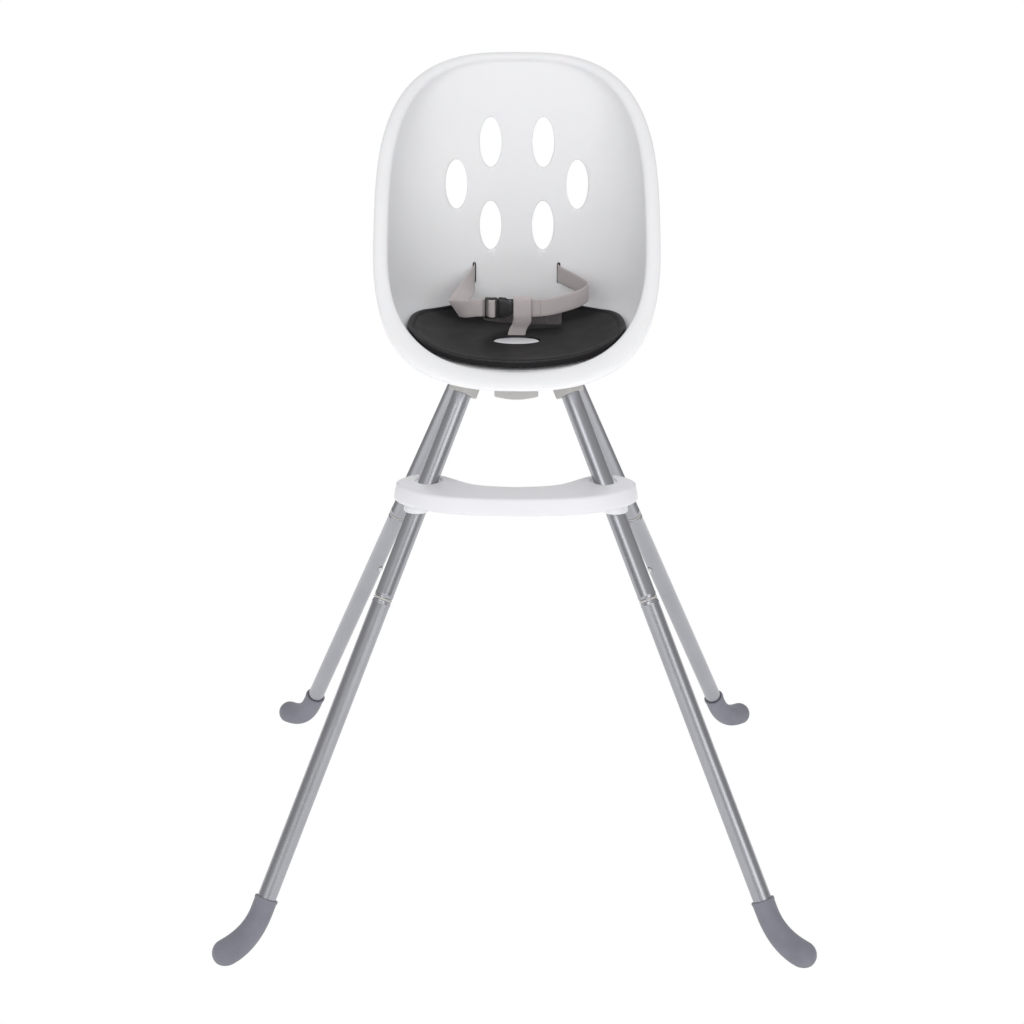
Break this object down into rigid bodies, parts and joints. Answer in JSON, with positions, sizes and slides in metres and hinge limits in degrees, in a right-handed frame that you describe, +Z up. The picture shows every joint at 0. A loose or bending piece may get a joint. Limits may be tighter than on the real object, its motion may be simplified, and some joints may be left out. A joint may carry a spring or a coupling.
{
  "type": "baby high chair",
  "caption": "Baby high chair with a moulded foam bucket seat, padded liner, lap harness, bowed footrest and splayed tube legs whose extensions unlock with snap buttons",
  "frame": {"origin": "on the floor, under the centre of the box around the chair, which is the hub's axis", "axes": "+Z up; the chair faces -Y; +X to the right seen from in front of the chair"},
  "size_m": [0.6372, 0.6372, 0.8989],
  "materials": {
    "foam_white": "satin moulded foam skin",
    "pad_charcoal": "soft matte pad",
    "moulded_grey": "matte",
    "moulded_white": "satin",
    "aluminium_tube": "satin anodised",
    "steel": "plain",
    "foot_grey": "matte",
    "webbing": "woven",
    "buckle_black": "fine satin"
  },
  "bodies": {
    "frame": {"seat_shell": "foam_white", "seat_liner": "pad_charcoal", "hub": "moulded_grey", "seat_cap": "moulded_white", "hub_screw_1": "steel", "hub_screw_2": "steel", "hub_screw_3": "steel", "hub_screw_4": "steel", "lever_pin": "steel", "lever_spring": "steel", "upper_leg_fl": "aluminium_tube", "spigot_fl": "steel", "joint_ring_fl": "moulded_grey", "button_spring_fl": "steel", "upper_leg_fr": "aluminium_tube", "spigot_fr": "steel", "joint_ring_fr": "moulded_grey", "button_spring_fr": "steel", "upper_leg_rl": "aluminium_tube", "spigot_rl": "steel", "joint_ring_rl": "moulded_grey", "button_spring_rl": "steel", "upper_leg_rr": "aluminium_tube", "spigot_rr": "steel", "joint_ring_rr": "moulded_grey", "button_spring_rr": "steel", "waist_strap_left": "webbing", "waist_strap_right": "webbing", "strap_tail": "webbing", "crotch_strap": "webbing", "buckle_socket": "buckle_black", "strap_anchor_left": "buckle_black", "strap_anchor_right": "buckle_black", "crotch_anchor": "buckle_black"},
    "leg_extension_fl": {"lower_leg_fl": "aluminium_tube", "foot_fl": "foot_grey"},
    "button_fl": {"snap_button_fl": "steel"},
    "leg_extension_fr": {"lower_leg_fr": "aluminium_tube", "foot_fr": "foot_grey"},
    "button_fr": {"snap_button_fr": "steel"},
    "leg_extension_rl": {"lower_leg_rl": "aluminium_tube", "foot_rl": "foot_grey"},
    "button_rl": {"snap_button_rl": "steel"},
    "leg_extension_rr": {"lower_leg_rr": "aluminium_tube", "foot_rr": "foot_grey"},
    "button_rr": {"snap_button_rr": "steel"},
    "lever": {"release_lever": "moulded_grey"},
    "step": {"footrest": "moulded_white", "footrest_clip_left": "moulded_white", "footrest_clip_right": "moulded_white"},
    "tongue": {"buckle_tongue": "buckle_black"},
    "arm_top": {"buckle_arm_top": "buckle_black"},
    "arm_bottom": {"buckle_arm_bottom": "buckle_black"}
  },
  "joints": [
    {"name": "leg_fl_pull", "type": "slide", "parent": "frame", "child": "leg_extension_fl", "axis": [-0.3549, -0.3549, -0.8649], "range_m": [0, 0.12]},
    {"name": "button_fl_press", "type": "slide", "parent": "leg_extension_fl", "child": "button_fl", "axis": [-0.6116, -0.6116, 0.502], "range_m": [0, 0.003], "stiffness_N_per_m": 300, "deforming": ["button_spring_fl"]},
    {"name": "leg_fr_pull", "type": "slide", "parent": "frame", "child": "leg_extension_fr", "axis": [0.3549, -0.3549, -0.8649], "range_m": [0, 0.12]},
    {"name": "button_fr_press", "type": "slide", "parent": "leg_extension_fr", "child": "button_fr", "axis": [0.6116, -0.6116, 0.502], "range_m": [0, 0.003], "stiffness_N_per_m": 300, "deforming": ["button_spring_fr"]},
    {"name": "leg_rl_pull", "type": "slide", "parent": "frame", "child": "leg_extension_rl", "axis": [-0.3549, 0.3549, -0.8649], "range_m": [0, 0.12]},
    {"name": "button_rl_press", "type": "slide", "parent": "leg_extension_rl", "child": "button_rl", "axis": [-0.6116, 0.6116, 0.502], "range_m": [0, 0.003], "stiffness_N_per_m": 300, "deforming": ["button_spring_rl"]},
    {"name": "leg_rr_pull", "type": "slide", "parent": "frame", "child": "leg_extension_rr", "axis": [0.3549, 0.3549, -0.8649], "range_m": [0, 0.12]},
    {"name": "button_rr_press", "type": "slide", "parent": "leg_extension_rr", "child": "button_rr", "axis": [0.6116, 0.6116, 0.502], "range_m": [0, 0.003], "stiffness_N_per_m": 300, "deforming": ["button_spring_rr"]},
    {"name": "lever_lift", "type": "hinge", "parent": "frame", "child": "lever", "pos_m": [0, -0.05, 0.5665], "axis": [-1, 0, 0], "range_deg": [0, 8], "stiffness_Nm_per_rad": 0.8, "deforming": ["lever_spring"]},
    {"name": "step_draw_off", "type": "slide", "parent": "frame", "child": "step", "axis": [0, -1, 0], "range_m": [0, 0.06]},
    {"name": "buckle_open", "type": "slide", "parent": "frame", "child": "tongue", "axis": [-1, 0, 0], "range_m": [0, 0.014], "deforming": ["waist_strap_left", "strap_tail"]},
    {"name": "arm_top_squeeze", "type": "hinge", "parent": "tongue", "child": "arm_top", "pos_m": [-0.0203, 0.0045, 0.6409], "axis": [0, 1, 0], "range_deg": [0, 8], "stiffness_Nm_per_rad": 0.05},
    {"name": "arm_bottom_squeeze", "type": "hinge", "parent": "tongue", "child": "arm_bottom", "pos_m": [-0.0203, 0.0045, 0.6301], "axis": [0, 1, 0], "range_deg": [-8, 0], "stiffness_Nm_per_rad": 0.05}
  ],
  "couplings": [
    {"joint": "arm_bottom_squeeze", "follows": "arm_top_squeeze", "ratio": -1}
  ]
}
